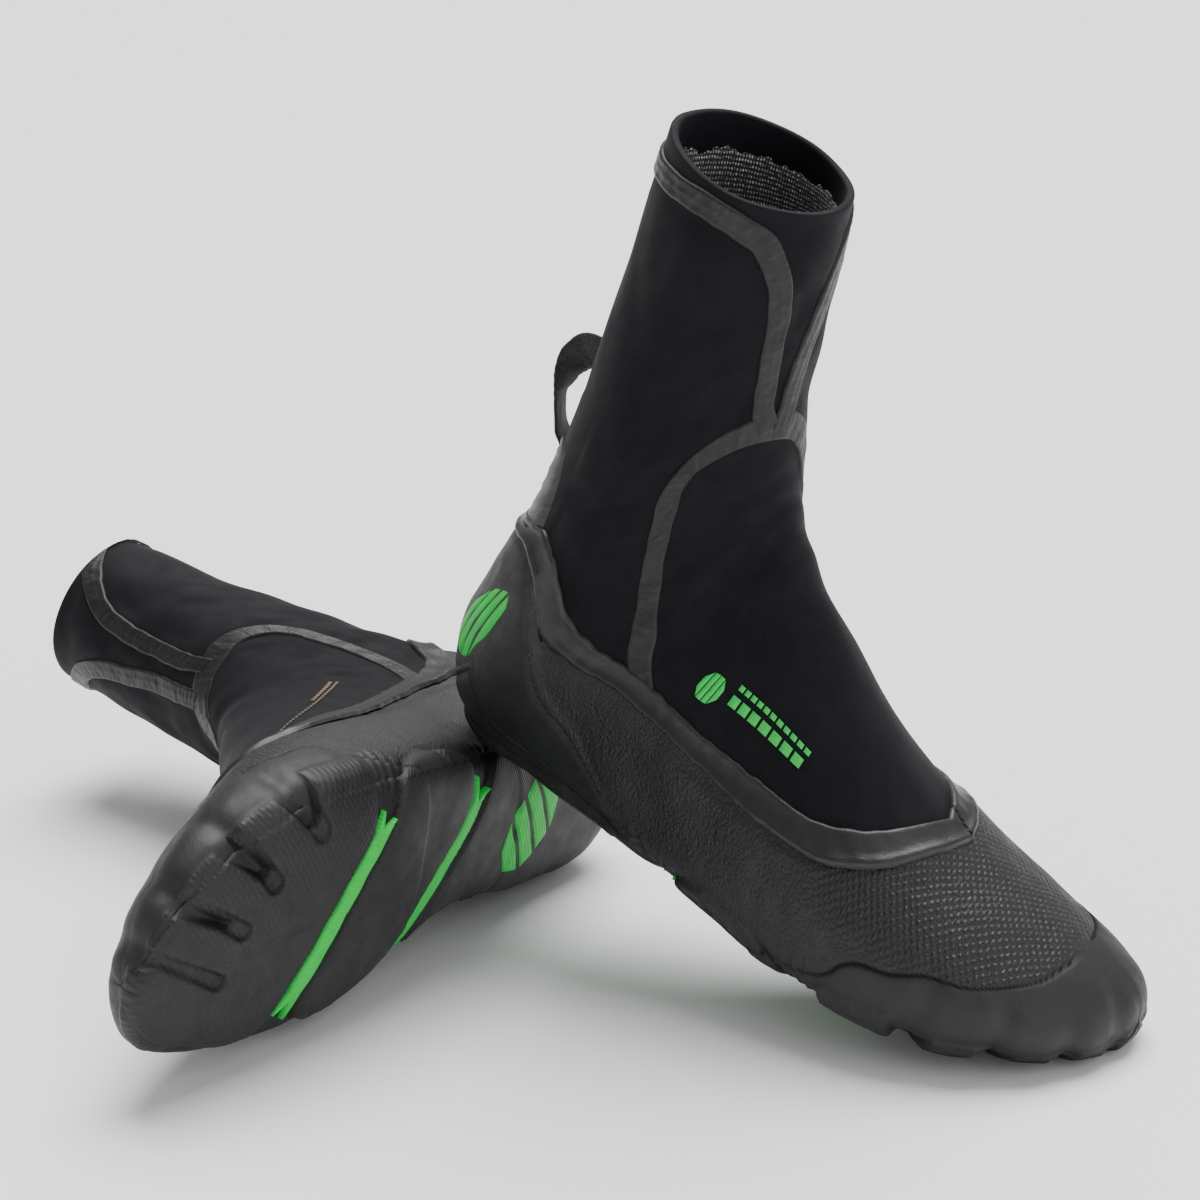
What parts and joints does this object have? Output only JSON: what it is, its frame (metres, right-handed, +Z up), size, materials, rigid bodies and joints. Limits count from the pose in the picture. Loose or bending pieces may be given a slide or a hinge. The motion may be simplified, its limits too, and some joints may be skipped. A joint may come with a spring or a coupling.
{
  "type": "pair of neoprene surf boots",
  "caption": "Pair of neoprene water-sports boots with moulded rubber soles; one stands with its heel on the other, which lies on its side.",
  "frame": {"origin": "middle of the pair's footprint, on the floor both boots touch", "axes": "+X the way the standing boot's toes point, +Y away from the viewer, +Z up"},
  "size_m": [0.4921, 0.2844, 0.3136],
  "materials": {
    "neoprene": "matt smooth-skin neoprene",
    "seam_tape": "satin rubber tape",
    "textured_rubber": "fine pebble texture",
    "smooth_rubber": "smooth moulded rubber",
    "sole_rubber": "ribbed matt rubber",
    "green_rubber": "smooth coloured rubber",
    "knit": "heathered knit lining",
    "webbing": "ribbed webbing"
  },
  "bodies": {
    "right_foot": {"right_vamp_panel": "neoprene", "right_outer_quarter": "neoprene", "right_inner_quarter": "neoprene", "right_sole_panel": "neoprene", "right_outer_lining": "knit", "right_inner_lining": "knit", "right_insole_lining": "knit", "right_arch_tape": "seam_tape", "right_heel_tab": "seam_tape", "right_edge_tape": "smooth_rubber", "right_foot_shell": "textured_rubber", "right_toe_rand": "smooth_rubber", "right_heel_counter": "smooth_rubber", "right_heel_badge": "green_rubber", "right_outsole": "sole_rubber", "right_forefoot_tread": "sole_rubber", "right_midfoot_tread": "sole_rubber", "right_heel_tread": "sole_rubber", "right_sole_emblem": "green_rubber", "right_front_flex_strip": "green_rubber", "right_rear_flex_strip": "green_rubber"},
    "right_shaft": {"right_collar_and_gusset": "neoprene", "right_shaft_lining": "knit", "right_outer_collar_tape": "seam_tape", "right_inner_collar_tape": "seam_tape"},
    "right_loop": {"right_pull_loop": "webbing"},
    "left_foot": {"left_vamp_panel": "neoprene", "left_outer_quarter": "neoprene", "left_inner_quarter": "neoprene", "left_sole_panel": "neoprene", "left_outer_lining": "knit", "left_inner_lining": "knit", "left_insole_lining": "knit", "left_arch_tape": "seam_tape", "left_heel_tab": "seam_tape", "left_edge_tape": "smooth_rubber", "left_foot_shell": "textured_rubber", "left_toe_rand": "smooth_rubber", "left_heel_counter": "smooth_rubber", "left_heel_badge": "green_rubber", "left_outsole": "sole_rubber", "left_forefoot_tread": "sole_rubber", "left_midfoot_tread": "sole_rubber", "left_heel_tread": "sole_rubber", "left_sole_emblem": "green_rubber", "left_front_flex_strip": "green_rubber", "left_rear_flex_strip": "green_rubber"},
    "left_shaft": {"left_collar_and_gusset": "neoprene", "left_shaft_lining": "knit", "left_outer_collar_tape": "seam_tape", "left_inner_collar_tape": "seam_tape"},
    "left_loop": {"left_pull_loop": "webbing"}
  },
  "joints": [
    {"name": "right_ankle_bend", "type": "hinge", "parent": "right_foot", "child": "right_shaft", "pos_m": [0.077, 0.06267, 0.15168], "axis": [-0.0636, 0.9963, 0.0574], "range_deg": [-15, 20], "stiffness_Nm_per_rad": 2, "deforming": ["right_vamp_panel", "right_outer_quarter", "right_inner_quarter", "right_arch_tape", "right_heel_tab"]},
    {"name": "right_pull_loop_swing", "type": "hinge", "parent": "right_shaft", "child": "right_loop", "pos_m": [0.0361, 0.05665, 0.21086], "axis": [0.4494, -0.0227, 0.8931], "range_deg": [-25, 25], "stiffness_Nm_per_rad": 0.03},
    {"name": "left_ankle_bend", "type": "hinge", "parent": "left_foot", "child": "left_shaft", "pos_m": [-0.08926, 0.06456, 0.05048], "axis": [0.1833, 0.1077, 0.9771], "range_deg": [-15, 20], "stiffness_Nm_per_rad": 2, "deforming": ["left_vamp_panel", "left_outer_quarter", "left_inner_quarter", "left_arch_tape", "left_heel_tab"]},
    {"name": "left_pull_loop_swing", "type": "hinge", "parent": "left_shaft", "child": "left_loop", "pos_m": [-0.13275, 0.12215, 0.05229], "axis": [-0.9705, -0.1382, 0.1973], "range_deg": [-25, 25], "stiffness_Nm_per_rad": 0.03},
    {"name": "right_boot_lift", "type": "slide", "parent": "left_foot", "child": "right_foot", "axis": [0, 0, 1], "range_m": [0, 0.3]}
  ]
}
